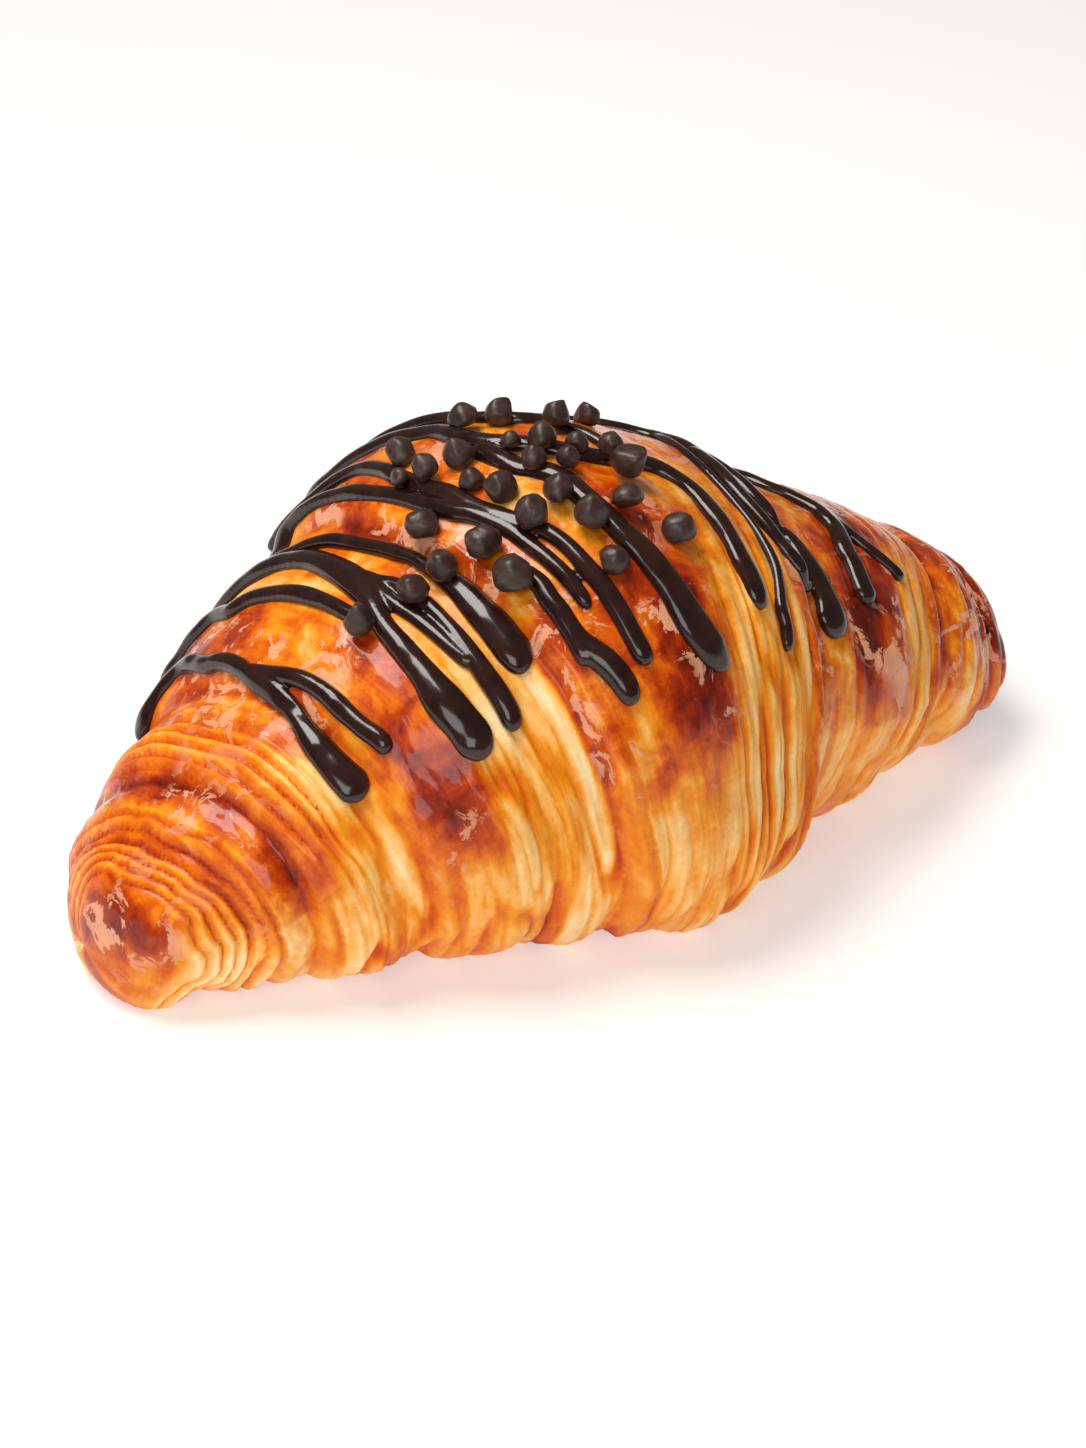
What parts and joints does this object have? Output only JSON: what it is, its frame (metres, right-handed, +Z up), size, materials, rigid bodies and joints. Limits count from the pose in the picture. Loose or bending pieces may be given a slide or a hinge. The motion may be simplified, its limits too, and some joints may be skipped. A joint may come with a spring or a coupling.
{
  "type": "chocolate drizzled croissant",
  "caption": "Large rolled croissant lying on its flat base, drizzled with set chocolate strands and topped with small chocolate drops.",
  "frame": {"origin": "middle of the flat base that the croissant rests on, halfway between the tips", "axes": "+X along the croissant towards its right tip, -Y towards its front with the hanging drizzle ends, +Z up"},
  "size_m": [0.175, 0.1009, 0.0785],
  "materials": {
    "crust": "egg-washed golden to red-brown baked crust, glossy on top, paler and matt where the layers stretched",
    "set_chocolate": "smooth glossy dark chocolate",
    "drop_chocolate": "satin dark chocolate with a faint grey bloom"
  },
  "bodies": {
    "root": {"chocolate_drop_01": "drop_chocolate", "chocolate_drop_02": "drop_chocolate", "chocolate_drop_03": "drop_chocolate", "chocolate_drop_04": "drop_chocolate", "chocolate_drop_05": "drop_chocolate", "chocolate_drop_06": "drop_chocolate", "chocolate_drop_07": "drop_chocolate", "chocolate_drop_08": "drop_chocolate", "chocolate_drop_09": "drop_chocolate", "chocolate_drop_10": "drop_chocolate", "chocolate_drop_11": "drop_chocolate", "chocolate_drop_12": "drop_chocolate", "chocolate_drop_13": "drop_chocolate", "chocolate_drop_14": "drop_chocolate", "chocolate_drop_15": "drop_chocolate", "chocolate_drop_16": "drop_chocolate", "chocolate_drop_17": "drop_chocolate", "chocolate_drop_18": "drop_chocolate", "chocolate_drop_19": "drop_chocolate", "chocolate_drop_20": "drop_chocolate", "chocolate_drop_21": "drop_chocolate", "chocolate_drop_22": "drop_chocolate", "chocolate_drop_23": "drop_chocolate", "chocolate_drop_24": "drop_chocolate", "chocolate_drop_25": "drop_chocolate", "chocolate_drop_26": "drop_chocolate", "chocolate_drop_27": "drop_chocolate", "chocolate_drop_28": "drop_chocolate", "chocolate_drop_29": "drop_chocolate", "chocolate_drop_30": "drop_chocolate", "chocolate_drop_31": "drop_chocolate", "chocolate_drop_32": "drop_chocolate", "chocolate_drop_33": "drop_chocolate", "drizzle_01": "set_chocolate", "drizzle_02": "set_chocolate", "drizzle_03": "set_chocolate", "drizzle_04": "set_chocolate", "drizzle_05": "set_chocolate", "drizzle_06": "set_chocolate", "drizzle_07": "set_chocolate", "pastry": "crust"}
  },
  "joints": []
}
